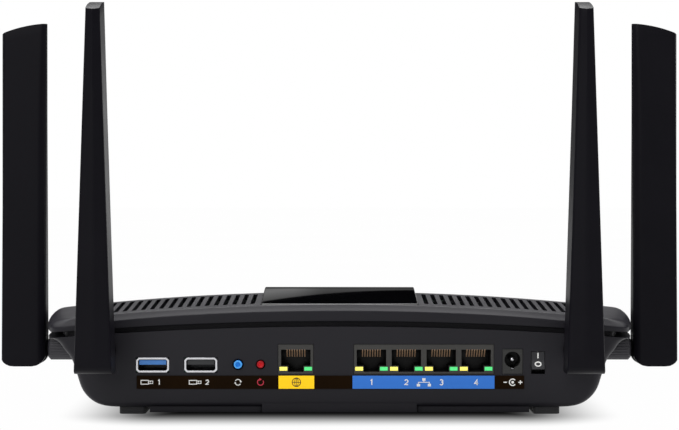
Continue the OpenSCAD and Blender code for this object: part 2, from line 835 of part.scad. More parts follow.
module elbow() {
    bar = 3.4;
    color([0.1, 0.1, 0.11])
    difference() {
        union() {
            turned([[2.5, 0], [2.5, 1.4], [7.3, 1.4], [7.3, 3.8], [8.5, 3.8], [8.5, 3 - run_gap],
                [blade_gap - 0.3, 3 - run_gap], [blade_gap - 0.3, 0]]);
            translate([blade_gap - 0.5, -tongue_half, -bar])
                cube([pin_s - blade_gap + 0.5, 2 * tongue_half, 2 * bar]);
            translate([pin_s, tongue_half, 0]) rotate([90, 0, 0]) cylinder(r = 4.4, h = 2 * tongue_half);
        }
        translate([pin_s, 10, 0]) rotate([90, 0, 0]) cylinder(r = pin_r + run_gap, h = 20);
    }
}

module hinge_pin() {
    color([0.5, 0.5, 0.52])
    translate([pin_s, 5, 0]) rotate([90, 0, 0]) cylinder(r = pin_r, h = 10);
}

// Blade frame: x is 0 at the face towards the body, y across the thickness, z up from the blade's bottom.
module in_blade() {
    translate([blade_gap, 0, -pin_up]) children();
}

function blade_half_t(z) = (blade_base_t + (blade_tip_t - blade_base_t) * z / blade_l) / 2;

// Cross section: a full nose towards the body, small edge radii and a slight bulge on the outer face.
module blade_section(z) {
    h = blade_half_t(z);
    nose = min(h - 0.4, 3.6);
    small = min(1.2, h / 2);
    bulge = 0.7;
    hull() {
        for (s = [-1, 1]) {
            translate([nose, s * (h - nose)]) circle(r = nose, $fn = 32);
            translate([blade_deep - small - bulge, s * (h - small)]) circle(r = small, $fn = 24);
        }
        translate([blade_deep - 2.2, 0]) circle(r = 2.2, $fn = 32);
    }
}

// Side view: rounded lower corners and a convex top that falls away from the body.
module blade_outline() {
    r = 5.6;
    top_r = 54;
    top_x = -2.4;
    top_from = blade_l - 12;
    union() {
        translate([r, 0]) square([blade_deep - 2 * r, top_from]);
        translate([0, r]) square([blade_deep, top_from - r]);
        translate([r, r]) circle(r = r);
        translate([blade_deep - r, r]) circle(r = r);
        intersection() {
            translate([top_x, blade_l + 0.05 - top_r]) circle(r = top_r, $fn = 144);
            translate([0, top_from - cut]) square([blade_deep, 12 + 2 * cut]);
        }
    }
}

// The taper runs on past both ends, so that the side view alone cuts them.
end_room = 3;

module blade_solid() {
    intersection() {
        hull()
            for (z = [-end_room, blade_l + end_room])
                translate([0, 0, z]) linear_extrude(eps) blade_section(z);
        translate([0, 10, 0]) rotate([90, 0, 0]) linear_extrude(20) blade_outline();
    }
}

cavity_low = 14;
cavity_high = blade_l - 9;
skin = 1.4;

// Trapezoid in the thickness direction, used for the cavity and for the cover strip.
module tapered_slab(x0, x1, z0, z1, inset) {
    translate([x0, 0, 0]) rotate([90, 0, 90]) linear_extrude(x1 - x0)
        polygon([[-blade_half_t(z0) + inset, z0], [blade_half_t(z0) - inset, z0],
            [blade_half_t(z1) - inset, z1], [-blade_half_t(z1) + inset, z1]]);
}

cover_t = 1.6;

// Slot that lets the elbow's tongue pass from the inner face round to the bottom as the blade tilts.
module hinge_slot() {
    half = tongue_half + 0.15;
    mid = pin_s - blade_gap;
    translate([0, half, 0]) rotate([90, 0, 0]) linear_extrude(2 * half)
        union() {
            translate([-cut, -cut]) square([mid + 3.6 + cut, pin_up + cut]);
            translate([-cut, -cut]) square([mid + cut, pin_up + 3.6 + cut]);
            translate([mid, pin_up]) circle(r = 4.8);
        }
}

module antenna_shell() {
    color([0.1, 0.098, 0.118])
    in_blade()
        difference() {
            blade_solid();
            tapered_slab(cover_t + 0.05, blade_deep - 1.5, cavity_low, cavity_high, skin);
            tapered_slab(-cut, cover_t + 0.1, cavity_low - 1, cavity_high + 1, skin + 0.6);
            hinge_slot();
            translate([pin_s - blade_gap, 5.05, pin_up]) rotate([90, 0, 0]) cylinder(r = pin_r, h = 10.1);
        }
}

module antenna_cover() {
    color([0.12, 0.118, 0.138])
    in_blade()
        intersection() {
            blade_solid();
            tapered_slab(-cut, cover_t, cavity_low - 0.95, cavity_high + 0.95, skin + 0.65);
        }
}

module antenna_radiator() {
    color([0.1, 0.35, 0.22])
    in_blade()
        box_between([cover_t + 0.6, -0.5, cavity_low + 0.2], [blade_deep - 1.8, 0.5, cavity_high - 10]);
}

module rear_left_collar() at_rear(-1) collar();
module rear_left_elbow() at_rear(-1) elbow();
module rear_left_hinge_pin() at_rear(-1) hinge_pin();
module rear_left_shell() at_rear(-1) antenna_shell();
module rear_left_cover() at_rear(-1) antenna_cover();
module rear_left_radiator() at_rear(-1) antenna_radiator();

module rear_right_collar() at_rear(1) collar();
module rear_right_elbow() at_rear(1) elbow();
module rear_right_hinge_pin() at_rear(1) hinge_pin();
module rear_right_shell() at_rear(1) antenna_shell();
module rear_right_cover() at_rear(1) antenna_cover();
module rear_right_radiator() at_rear(1) antenna_radiator();

module side_left_collar() at_side(-1) collar();
module side_left_elbow() at_side(-1) elbow();
module side_left_hinge_pin() at_side(-1) hinge_pin();
module side_left_shell() at_side(-1) antenna_shell();
module side_left_cover() at_side(-1) antenna_cover();
module side_left_radiator() at_side(-1) antenna_radiator();

module side_right_collar() at_side(1) collar();
module side_right_elbow() at_side(1) elbow();
module side_right_hinge_pin() at_side(1) hinge_pin();
module side_right_shell() at_side(1) antenna_shell();
module side_right_cover() at_side(1) antenna_cover();
module side_right_radiator() at_side(1) antenna_radiator();

// ---------------------------------------------------------------- nodes

bottom_housing();
top_cover();
center_inlay();
status_lens();
port_label_strip();
internet_label();
ethernet_label();
rubber_feet();
case_screws();
main_board();
board_screws();
shield_cans();
heatsink();
thermal_pads();
internet_jack();
ethernet_jack_block();
network_contacts();
link_leds_yellow();
link_leds_green();
usb3_shell();
usb3_tongue();
usb2_shell();
usb2_tongue();
usb_contacts();
dc_jack();
dc_jack_pin();
dc_jack_spring();
power_switch_housing();
power_rocker();
pairing_button();
reset_button();
tact_switches();
antenna_sockets();
socket_nuts();
coax_leads();
rear_left_collar();
rear_left_elbow();
rear_left_hinge_pin();
rear_left_shell();
rear_left_cover();
rear_left_radiator();
rear_right_collar();
rear_right_elbow();
rear_right_hinge_pin();
rear_right_shell();
rear_right_cover();
rear_right_radiator();
side_left_collar();
side_left_elbow();
side_left_hinge_pin();
side_left_shell();
side_left_cover();
side_left_radiator();
side_right_collar();
side_right_elbow();
side_right_hinge_pin();
side_right_shell();
side_right_cover();
side_right_radiator();
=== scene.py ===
"""Looks of a four-antenna wireless router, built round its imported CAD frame. Lengths here are in millimetres."""
import math

import bmesh
import bpy
from mathutils import Matrix, Vector


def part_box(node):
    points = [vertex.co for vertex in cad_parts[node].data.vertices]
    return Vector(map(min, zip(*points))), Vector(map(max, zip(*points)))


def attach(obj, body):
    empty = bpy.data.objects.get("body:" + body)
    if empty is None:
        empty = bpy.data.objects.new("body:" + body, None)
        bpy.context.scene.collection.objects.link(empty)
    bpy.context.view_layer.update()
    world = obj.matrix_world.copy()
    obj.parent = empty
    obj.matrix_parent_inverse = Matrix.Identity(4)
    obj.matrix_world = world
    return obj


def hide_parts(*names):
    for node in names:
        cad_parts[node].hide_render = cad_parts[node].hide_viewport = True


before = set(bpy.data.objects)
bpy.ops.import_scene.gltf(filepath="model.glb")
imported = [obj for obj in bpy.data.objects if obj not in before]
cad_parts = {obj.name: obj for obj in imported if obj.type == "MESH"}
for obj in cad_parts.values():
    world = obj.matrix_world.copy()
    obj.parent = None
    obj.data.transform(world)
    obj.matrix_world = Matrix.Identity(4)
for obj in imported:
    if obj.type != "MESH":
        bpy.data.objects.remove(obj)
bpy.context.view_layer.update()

MM = 0.001


def box_mm(node):
    """Lowest and highest corner of a CAD node, in millimetres."""
    low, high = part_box(node)
    return low / MM, high / MM


TUB_LOW, TUB_HIGH = box_mm("bottom_housing")
REAR, FRONT = TUB_LOW.y, TUB_HIGH.y
DEPTH = FRONT - REAR

# ---------------------------------------------------------------- materials


def srgb(code, gain=1.0):
    """Linear colour of a hexadecimal sRGB code."""
    out = []
    for i in (0, 2, 4):
        c = int(code[i:i + 2], 16) / 255
        out.append(gain * (c / 12.92 if c <= 0.04045 else ((c + 0.055) / 1.055) ** 2.4))
    return (*out, 1.0)


class Tree:
    """Small helper for building a node tree: values are either numbers or another node's output."""

    def __init__(self, name, owner=None):
        self.material = owner or bpy.data.materials.new(name)
        self.material.use_nodes = True
        self.nodes = self.material.node_tree.nodes
        self.links = self.material.node_tree.links
        self.nodes.clear()

    def add(self, kind, inputs=None, **props):
        node = self.nodes.new("ShaderNode" + kind)
        for key, value in props.items():
            setattr(node, key, value)
        for key, value in (inputs or {}).items():
            if isinstance(value, bpy.types.NodeSocket):
                self.links.new(value, node.inputs[key])
            else:
                node.inputs[key].default_value = value
        return node

    def math(self, how, a, b=0.0, clamp=False):
        return self.add("Math", {0: a, 1: b}, operation=how, use_clamp=clamp).outputs[0]

    def remap(self, value, a, b, c, d):
        return self.add("MapRange", {"Value": value, "From Min": a, "From Max": b, "To Min": c, "To Max": d}).outputs[0]

    def blend(self, factor, a, b):
        return self.add("Mix", {0: factor, 6: a, 7: b}, data_type="RGBA").outputs[2]


def scaled(color, k):
    return (*[min(1.0, c * k) for c in color[:3]], 1.0)


def surface(name, color, rough, grain=0.35, depth=0.02, mottle=0.10, spread=0.05, edge=1.5, rounding=0.25,
            metallic=0.0, stretch=None, coat=0.0, specular=0.5, glow=0.0, wave=0.0, sheen=0.0, inside_shade=None, crease_shade_reach=0.0,
            crease_shade_share=0.06):
    """A moulded or metal finish. grain is the texture's size and depth its height, both in mm; mottle and spread are
    how far colour and roughness wander; edge is how much lighter the rounded edges are; rounding softens sharp edges;
    inside_shade is painted shade, the share of colour left a few mm inside the rear face; crease_shade_reach is the
    reach, in mm, of painted shade in creases, grooves, slots and recesses, and crease_shade_share is the share of
    colour left in them; glow is light given off: the LEDs' and status lens's own light, and painted light on the labels
    and the contacts."""
    t = Tree(name)
    place = raw = t.add("TexCoord").outputs["Object"]
    if stretch:
        place = t.add("Mapping", {"Vector": place, "Scale": stretch}).outputs[0]
    broad = t.add("TexNoise", {"Vector": place, "Scale": 38.0, "Detail": 4.0, "Roughness": 0.55}).outputs["Fac"]
    fine = t.add("TexNoise", {"Vector": place, "Scale": 1000 / grain, "Detail": 3.0, "Roughness": 0.6}).outputs["Fac"]
    speck = t.add("TexVoronoi", {"Vector": place, "Scale": 1000 / (grain * 2.2)}).outputs["Distance"]
    body = t.blend(t.remap(broad, 0.3, 0.7, 0.0, 1.0), scaled(color, 1 - mottle), scaled(color, 1 + mottle))
    body = t.blend(t.remap(fine, 0.35, 0.75, 0.0, 0.5), body, scaled(color, 1 + 1.6 * mottle))
    height = t.math("ADD", t.math("MULTIPLY", fine, 0.7), t.math("MULTIPLY", speck, 0.3))
    if wave:
        slow = t.add("TexNoise", {"Vector": place, "Scale": 110.0, "Detail": 1.0}).outputs["Fac"]
        height = t.math("ADD", height, t.math("MULTIPLY", slow, wave / max(depth, 1e-4)))
    inputs = {"Strength": 1.0, "Distance": depth * MM, "Height": height}
    if rounding:
        round_node = t.add("Bevel", {"Radius": rounding * MM}, samples=6)
        inputs["Normal"] = round_node.outputs[0]
        facing = t.add("VectorMath", {0: round_node.outputs[0], 1: t.add("NewGeometry").outputs["Normal"]},
                       operation="DOT_PRODUCT").outputs["Value"]
        # edges made lighter than the flat face, by how far the rounded normal turns from it
        lighter_edges = t.math("MULTIPLY", t.remap(facing, 0.995, 0.8, 0.0, 1.0), t.remap(broad, 0.35, 0.65, 0.45, 1.0))
        body = t.blend(lighter_edges, body, scaled(color, edge))
    # painted shade: colour darkened a few mm inside the rear face, in the port openings
    if inside_shade is not None:
        inward = t.add("SeparateXYZ", {0: raw}).outputs[1]
        body = t.blend(t.remap(inward, (REAR + 0.7) * MM, (REAR + 5) * MM, 0.0, 1.0), body, scaled(color, inside_shade))
    # painted shade: ambient occlusion darkens colour and specular in creases, grooves, slots and recesses
    if crease_shade_reach:
        open_sky = t.add("AmbientOcclusion", {"Distance": crease_shade_reach * MM}, samples=4).outputs["AO"]
        shade_in = t.remap(open_sky, 0.35, 0.85, crease_shade_share, 1.0)
        body = t.blend(shade_in, (0.0, 0.0, 0.0, 1.0), body)
        specular = t.math("MULTIPLY", shade_in, specular)
    bump = t.add("Bump", inputs).outputs[0]
    dull = t.remap(broad, 0.25, 0.75, max(rough - spread, 0.02), min(rough + spread, 1.0))
    shader = t.add("BsdfPrincipled", {
        "Base Color": body, "Roughness": dull, "Normal": bump, "Metallic": metallic, "Coat Weight": coat,
        "Coat Roughness": 0.06, "Specular IOR Level": specular, "Sheen Weight": sheen,
    })
    # emitted light: the LEDs' and status lens's own, and painted light on the labels and the contacts
    if glow:
        shader.inputs["Emission Color"].default_value = color
        shader.inputs["Emission Strength"].default_value = glow
    t.links.new(shader.outputs[0], t.add("OutputMaterial").inputs[0])
    return t.material


def board_finish():
    """Green solder mask with copper runs under it and a scatter of pads."""
    t = Tree("circuit_board")
    place = t.add("TexCoord").outputs["Object"]
    cells = t.add("TexVoronoi", {"Vector": place, "Scale": 260.0}, distance="CHEBYCHEV", feature="F1")
    runs = t.add("TexBrick", {"Vector": place, "Color1": (0.012, 0.10, 0.05, 1), "Color2": (0.02, 0.15, 0.075, 1),
                              "Mortar": (0.006, 0.055, 0.03, 1), "Scale": 160.0, "Mortar Size": 0.03}).outputs["Color"]
    pad = t.math("LESS_THAN", cells.outputs["Distance"], 0.16)
    color = t.blend(t.math("MULTIPLY", pad, 0.7), runs, (0.55, 0.42, 0.2, 1))
    height = t.math("ADD", t.add("RGBToBW", {0: runs}).outputs[0], t.math("MULTIPLY", pad, 0.4))
    bump = t.add("Bump", {"Strength": 0.6, "Distance": 0.00004, "Height": height}).outputs[0]
    shader = t.add("BsdfPrincipled", {"Base Color": color, "Roughness": t.remap(pad, 0, 1, 0.38, 0.25), "Normal": bump})
    t.links.new(shader.outputs[0], t.add("OutputMaterial").inputs[0])
    return t.material


# finishes by the record's slot names
FINISHES = {
    "housing_plastic": surface("housing_plastic", srgb("1a191e"), 0.48, grain=0.30, depth=0.016, mottle=0.08,
                               specular=0.22, crease_shade_reach=2.4),
    "lid_plastic": surface("lid_plastic", srgb("1b1a1f"), 0.40, grain=0.30, depth=0.014, mottle=0.08, specular=0.18,
                            crease_shade_reach=3, crease_shade_share=0.35),
    "gloss_panel": surface("gloss_panel", srgb("040405"), 0.02, grain=3.0, depth=0.0006, mottle=0.15, spread=0.008,
                           edge=2.0, wave=0.001, rounding=0.2),
    "lens": surface("lens", srgb("d8e2ea"), 0.16, grain=0.8, depth=0.004, mottle=0.04, coat=0.5, edge=1.1, glow=0.5),
    "label_black": surface("label_black", srgb("180d03"), 0.55, grain=0.25, depth=0.004, mottle=0.18, edge=1.8,
                           rounding=0.08, specular=0.03),
    # painted light: the yellow label glows a little to look brighter
    "label_yellow": surface("label_yellow", srgb("ffce1c"), 0.5, grain=0.25, depth=0.004, mottle=0.04, edge=1.05,
                            rounding=0.08, specular=0.15, glow=0.2),
    # painted light: the blue label glows a little to look brighter
    "label_blue": surface("label_blue", srgb("3573cb"), 0.5, grain=0.25, depth=0.004, mottle=0.05, edge=1.1,
                          rounding=0.08, specular=0.15, glow=0.08),
    "foot_rubber": surface("foot_rubber", srgb("1c1c1e"), 0.85, grain=0.5, depth=0.03, mottle=0.2, sheen=0.2),
    "screw_steel": surface("screw_steel", srgb("b4b4b8"), 0.32, grain=0.2, depth=0.006, metallic=1.0,
                           stretch=(1, 9, 9), edge=1.15, rounding=0.12),
    "circuit_board": board_finish(),
    "tinned_steel": surface("tinned_steel", srgb("c6c6ca"), 0.3, grain=0.25, depth=0.005, metallic=1.0,
                            stretch=(1, 12, 1), edge=1.1),
    "heatsink_alloy": surface("heatsink_alloy", srgb("b0b2b6"), 0.36, grain=0.25, depth=0.008, metallic=1.0,
                              stretch=(10, 1, 1), edge=1.15),
    "thermal_pad": surface("thermal_pad", srgb("8fa0c2"), 0.8, grain=0.4, depth=0.02, mottle=0.1, edge=1.05),
    "jack_plastic": surface("jack_plastic", srgb("383735"), 0.42, grain=0.25, depth=0.010, mottle=0.10, rounding=0.15,
                            specular=0.3, inside_shade=0.12, crease_shade_reach=3),
    # painted light: the contacts glow a little to show inside the jack's shade
    "gold_contact": surface("gold_contact", srgb("c4a080"), 0.36, grain=0.12, depth=0.002, metallic=0.6,
                            stretch=(9, 1, 9), edge=1.2, rounding=0.08, glow=0.06),
    "led_yellow": surface("led_yellow", srgb("ffee6a"), 0.25, grain=0.4, depth=0.003, mottle=0.06, edge=1.0,
                          rounding=0.1, glow=0.5),
    "led_green": surface("led_green", srgb("4fdc7c"), 0.25, grain=0.4, depth=0.003, mottle=0.06, edge=1.0,
                         rounding=0.1, glow=0.4),
    "port_shell": surface("port_shell", srgb("d6d6da"), 0.24, grain=0.2, depth=0.003, metallic=1.0,
                          stretch=(1, 10, 10), edge=1.1, mottle=0.06, rounding=0.12, inside_shade=0.04),
    "usb_blue": surface("usb_blue", srgb("3d7cc6"), 0.34, grain=0.2, depth=0.006, mottle=0.06, edge=1.2, rounding=0.15),
    "usb_dark": surface("usb_dark", srgb("1f2023"), 0.34, grain=0.2, depth=0.006, mottle=0.08, edge=1.3, rounding=0.15),
    "dc_plastic": surface("dc_plastic", srgb("2c2c2b"), 0.42, grain=0.25, depth=0.010, mottle=0.1, rounding=0.15,
                          specular=0.3, inside_shade=0.3),
    "switch_plastic": surface("switch_plastic", srgb("29292c"), 0.40, grain=0.22, depth=0.010, mottle=0.1,
                              rounding=0.15, specular=0.3, inside_shade=0.4),
    "button_blue": surface("button_blue", srgb("0f74d6"), 0.32, grain=0.3, depth=0.005, mottle=0.05, edge=1.1,
                           specular=0.2, rounding=0.15),
    "button_red": surface("button_red", srgb("c40d18"), 0.32, grain=0.3, depth=0.005, mottle=0.05, edge=1.1,
                          specular=0.15, rounding=0.15),
    "connector_brass": surface("connector_brass", srgb("d0a858"), 0.28, grain=0.15, depth=0.004, metallic=1.0,
                               stretch=(9, 1, 1), edge=1.15, rounding=0.1),
    "lead_jacket": surface("lead_jacket", srgb("202022"), 0.55, grain=0.3, depth=0.008, mottle=0.12, rounding=0),
    "collar_plastic": surface("collar_plastic", srgb("2c2b30"), 0.44, grain=0.25, depth=0.02, mottle=0.12, edge=1.7,
                              rounding=0.18, specular=0.4),
    "antenna_plastic": surface("antenna_plastic", srgb("0f0e13", 0.9), 0.40, grain=0.30, depth=0.014, mottle=0.08,
                               edge=1.9, rounding=0.3, specular=0.07, crease_shade_reach=1.5),
    "hinge_steel": surface("hinge_steel", srgb("a8a8ac"), 0.3, grain=0.15, depth=0.004, metallic=1.0,
                           stretch=(1, 9, 9), edge=1.1),
}
RIM_BLUE = surface("button_blue_rim", srgb("52adf8"), 0.3, grain=0.3, depth=0.005, mottle=0.05, edge=1.1,
                   specular=0.3)
RIM_RED = surface("button_red_rim", srgb("9c0f18"), 0.3, grain=0.3, depth=0.005, mottle=0.05, edge=1.1,
                  specular=0.3)
PRINT_WHITE = surface("print_white", srgb("e9e9e6"), 0.55, grain=0.2, depth=0.003, mottle=0.04, edge=1.0, rounding=0)
PRINT_RED = surface("print_red", srgb("c0203a"), 0.55, grain=0.2, depth=0.003, mottle=0.06, edge=1.0, rounding=0)
PRINT_BLACK = surface("print_black", srgb("181206"), 0.55, grain=0.2, depth=0.003, mottle=0.1, edge=1.0, rounding=0)

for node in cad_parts.values():
    for i, material in enumerate(node.data.materials):
        node.data.materials[i] = FINISHES[material.name.split(".")[0]]

# ---------------------------------------------------------------- mesh helpers


def piece(name, points, faces, material, body=None, slot=None, sharp=32, clean=True):
    """A mesh object from points in millimetres, smooth except across edges sharper than the angle."""
    mesh = bpy.data.meshes.new(name)
    mesh.from_pydata([(x * MM, y * MM, z * MM) for x, y, z in points], [], faces)
    if clean:
        work = bmesh.new()
        work.from_mesh(mesh)
        bmesh.ops.remove_doubles(work, verts=work.verts, dist=1e-7)
        bmesh.ops.recalc_face_normals(work, faces=work.faces)
        work.to_mesh(mesh)
        work.free()
    obj = bpy.data.objects.new(name, mesh)
    bpy.context.scene.collection.objects.link(obj)
    mesh.materials.append(material)
    shade(obj, sharp)
    if body:
        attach(obj, body)
    return obj


def shade(obj, sharp=32):
    obj.data.shade_smooth()
    obj.data.set_sharp_from_angle(angle=math.radians(sharp))


def loft(rings):
    """Points and faces of a closed solid through rings of the same number of points, with a fan at each end."""
    n = len(rings[0])
    points = [p for ring in rings for p in ring]
    faces = [(k * n + i, k * n + (i + 1) % n, (k + 1) * n + (i + 1) % n, (k + 1) * n + i)
             for k in range(len(rings) - 1) for i in range(n)]
    for k, flip in ((0, True), (len(rings) - 1, False)):
        middle = [sum(p[a] for p in rings[k]) / n for a in range(3)]
        points.append(tuple(middle))
        tip = len(points) - 1
        for i in range(n):
            a, b = k * n + i, k * n + (i + 1) % n
            faces.append((b, a, tip) if flip else (a, b, tip))
    return points, faces


def evaluated(obj):
    """Applies the object's modifiers to its mesh."""
    graph = bpy.context.evaluated_depsgraph_get()
    mesh = bpy.data.meshes.new_from_object(obj.evaluated_get(graph))
    obj.modifiers.clear()
    old, obj.data = obj.data, mesh
    bpy.data.meshes.remove(old)
    return obj


def boolean(obj, tool, how="DIFFERENCE"):
    """Cuts, joins or intersects with a tool object, which is used up."""
    step = obj.modifiers.new("cut", "BOOLEAN")
    step.operation, step.solver, step.object = how, "MANIFOLD", tool
    evaluated(obj)
    bpy.data.objects.remove(tool)
    return obj


def bevelled(obj, width, segments=3, angle=40):
    step = obj.modifiers.new("round", "BEVEL")
    step.width, step.segments, step.limit_method = width * MM, segments, "ANGLE"
    step.angle_limit, step.harden_normals = math.radians(angle), False
    return evaluated(obj)


def block(low, high):
    (a, b, c), (d, e, f) = low, high
    points = [(a, b, c), (d, b, c), (d, e, c), (a, e, c), (a, b, f), (d, b, f), (d, e, f), (a, e, f)]
    faces = [(3, 2, 1, 0), (4, 5, 6, 7), (0, 1, 5, 4), (1, 2, 6, 5), (2, 3, 7, 6), (3, 0, 4, 7)]
    return points, faces


def prism(outline, low, high, place=lambda p, h: (p[0], p[1], h)):
    """A solid with a flat outline drawn between two heights; place turns an outline point and a height into X, Y, Z."""
    n = len(outline)
    points = [place(p, low) for p in outline] + [place(p, high) for p in outline]
    faces = [(i, (i + 1) % n, n + (i + 1) % n, n + i) for i in range(n)]
    faces += [tuple(range(n - 1, -1, -1)), tuple(range(n, 2 * n))]
    return points, faces


def joined(parts):
    points, faces = [], []
    for p, f in parts:
        faces += [tuple(i + len(points) for i in face) for face in f]
        points += list(p)
    return points, faces


def arc(cx, cy, r, a0, a1, n):
    return [(cx + r * math.cos(math.radians(a0 + (a1 - a0) * i / n)),
             cy + r * math.sin(math.radians(a0 + (a1 - a0) * i / n))) for i in range(n + 1)]


def pill(cx, cy, across, along, upright=True, n=8):
    """Outline of a slot with round ends, across wide and along long over all."""
    r, s = across / 2, (along - across) / 2
    if upright:
        return arc(cx, cy + s, r, 0, 180, n) + arc(cx, cy - s, r, 180, 360, n)
    return arc(cx + s, cy, r, -90, 90, n) + arc(cx - s, cy, r, 90, 270, n)


def rod(r, y0, y1, x, z, n=40):
    return prism(arc(x, z, r, 0, 360 - 360 / n, n - 1), y0, y1, lambda p, h: (p[0], h, p[1]))


# ---------------------------------------------------------------- the body's shape, as in the CAD

LID_HALF, LID_BOW, BOW_D, SAG = 115.0, 8.2, 62.0, 7.0
LID_SIDE_IN, LID_REAR_IN, LID_FRONT_IN = 7, 2.6, 6
LID_REAR_R, LID_FRONT_R = 7, 38
SEAM_Z, CROWN_Z, RIDGE_Y = 35.1, 46.8, REAR + 48
WALL, GROOVE, FOOT_H = 2.2, 2.2, 3.0
TUB_BOW, FLOOR_HALF, FLOOR_R = 5.8, 91.2, 13.0
COVE_X, COVE_Z, COVE_R = 117.5, 23, 8
LEAN_HALF, LEAN_Z = 106.7, 21.9
RIM_Z = COVE_Z + COVE_R * math.sin(math.radians(100))
RIM_HALF = COVE_X + COVE_R * math.cos(math.radians(100))
STRETCH_Z = 12.6
REAR_SLOPE, FRONT_SLOPE = math.tan(math.radians(3.7)), math.tan(math.radians(5))
RIDGE_SOFT = 7.0
PLINTH_HALF, PLINTH_LOW, STRIP_HALF = 31, 0.8, 76


def bowed(half, bow, d):
    """Half width at a depth behind the rear face."""
    return half + bow * (1 - max(0.0, 1 - d / BOW_D) ** 2)


def plan(half, bow, rear_in, front_in, rear_r, front_r):
    """Outline seen from above, anticlockwise from the middle of the rear edge."""
    y0, y1 = REAR + rear_in, FRONT - front_in
    rear_half = bowed(half, bow, rear_in + rear_r)
    front_half = bowed(half, bow, DEPTH - front_in - front_r)
    side_to = DEPTH - front_in - front_r - SAG
    right = [((rear_half - rear_r) * k / 16, y0) for k in range(16)]
    right += arc(rear_half - rear_r, y0 + rear_r, rear_r, -90, 0, 10)
    right += [(bowed(half, bow, d), REAR + d) for d in (16, 20, 24, 28, 32, 37, 42, 48, 55, 62, 75, 88, 101, 114)]
    right += arc(front_half - front_r, REAR + side_to, front_r, 0, 80, 20)
    right += [((front_half - front_r) * k / 18, y1 - SAG * ((front_half - front_r) * k / 18 / front_half) ** 2)
              for k in range(17, -1, -1)]
    return right + [(-x, y) for x, y in right[-2:0:-1]]


def seam(x, y):
    """Height of the joint between housing and lid."""
    return SEAM_Z - x * x / 2900 - max(0.0, y - RIDGE_Y) * FRONT_SLOPE


def crown(x, y):
    """Height of the lid's top: two slopes with a soft ridge between them."""
    t, w = y - RIDGE_Y, RIDGE_SOFT
    if t < -w:
        fall = -t * REAR_SLOPE
    elif t > w:
        fall = t * FRONT_SLOPE
    else:
        fall = w * REAR_SLOPE - REAR_SLOPE * (t + w) + (REAR_SLOPE + FRONT_SLOPE) * (t + w) ** 2 / (4 * w)
    return CROWN_Z - x * x / 2100 - fall


def tub_ring(half, rear_in, z, bow=TUB_BOW, lift=0.0):
    """A level ring of the housing, stretched to follow the seam higher up."""
    out = []
    for x, y in plan(half, bow, rear_in, (RIM_HALF - half) * 0.8, 4, 34):
        out.append((x, y, z + (seam(x, y) - RIM_Z) * max(0.0, (z - STRETCH_Z) / (RIM_Z - STRETCH_Z)) + lift))
    return out


# the lid's edge as (share inward, share upward), from the upright skirt to the start of the top
LID_BAND = ((0, 0), (0.004, 0.06), (0.02, 0.105), (0.05, 0.14), (0.1, 0.185), (0.3, 0.36), (0.5, 0.535), (0.7, 0.725),
            (0.86, 0.88), (0.94, 0.955), (0.985, 0.99), (1, 1))


def lid_edge(at, skin):
    side_in = LID_SIDE_IN * (1 - math.sqrt(1 - at[0] ** 2)) + skin
    rear_in, front_in = LID_REAR_IN * at[0] + skin, LID_FRONT_IN * at[0] + skin
    out = []
    for x, y in plan(LID_HALF - side_in, LID_BOW, rear_in, front_in, LID_REAR_R, LID_FRONT_R):
        low, top = seam(x, y) + GROOVE, crown(x, y) - skin
        skirt = low + (0.6 - 0.3 * (abs(x) / LID_HALF) ** 4) * (top - low)
        out.append((x, y, skirt + (top - skirt) * at[1]))
    return out


def lid_low(inset, lift=0.0):
    return [(x, y, seam(x, y) + GROOVE + lift)
            for x, y in plan(LID_HALF - inset, LID_BOW, inset, inset, LID_REAR_R, LID_FRONT_R)]


def lid_top(k, skin):
    out = []
    for x, y in plan(LID_HALF - LID_SIDE_IN - skin, LID_BOW, LID_REAR_IN + skin, LID_FRONT_IN + skin,
                     LID_REAR_R, LID_FRONT_R):
        x, y = x * k, RIDGE_Y + (y - RIDGE_Y) * k
        out.append((x, y, crown(x, y) - skin))
    return out


# ---------------------------------------------------------------- lid

TOP_STEPS = (0.97, 0.93, 0.88, 0.82, 0.75, 0.67, 0.58, 0.49, 0.40, 0.31, 0.22, 0.14, 0.07)
INLAY_LOW, INLAY_HIGH = box_mm("center_inlay")
INLAY_HALF = INLAY_HIGH.x
SLOTS, SLOT_PITCH, SLOT_W = 18, 3.7, 1.8
SLOT_SPANS = ((-39, -6), (6, 107))
SLOT_XS = [s * (INLAY_HALF + 3.6 + SLOT_PITCH * i) for s in (-1, 1) for i in range(SLOTS)]


def make_lid():
    rings = [lid_top(k, WALL) for k in reversed(TOP_STEPS)]
    rings += [lid_edge(at, WALL) for at in (LID_BAND[11], LID_BAND[6], LID_BAND[3], LID_BAND[0])]
    rings += [lid_low(WALL), lid_low(0.35), lid_low(0.1, 0.1), lid_low(0, 0.35)]
    rings += [lid_edge(at, 0) for at in LID_BAND]
    rings += [lid_top(k, 0) for k in TOP_STEPS]
    lid = piece("lid", *loft(rings), FINISHES["lid_plastic"])
    cuts = [prism(pill(x, RIDGE_Y + (a + b) / 2, SLOT_W, b - a), CROWN_Z - 30, CROWN_Z + 10)
            for x in SLOT_XS for a, b in SLOT_SPANS]
    y0, y1 = INLAY_LOW.y - 0.15, INLAY_HIGH.y + 0.15
    steps = [y0 + (y1 - y0) * i / 24 for i in range(25)]
    pocket = [(y, crown(0, y) - 1.15) for y in steps] + [(y1, CROWN_Z + 8), (y0, CROWN_Z + 8)]
    cuts.append(prism(pocket, -INLAY_HALF - 0.15, INLAY_HALF + 0.15, lambda p, h: (h, p[0], p[1])))
    boolean(lid, piece("lid_cuts", *joined(cuts), FINISHES["lid_plastic"]))
    shade(lid, 30)
    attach(lid, "body")
    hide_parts("top_cover")


# ---------------------------------------------------------------- housing


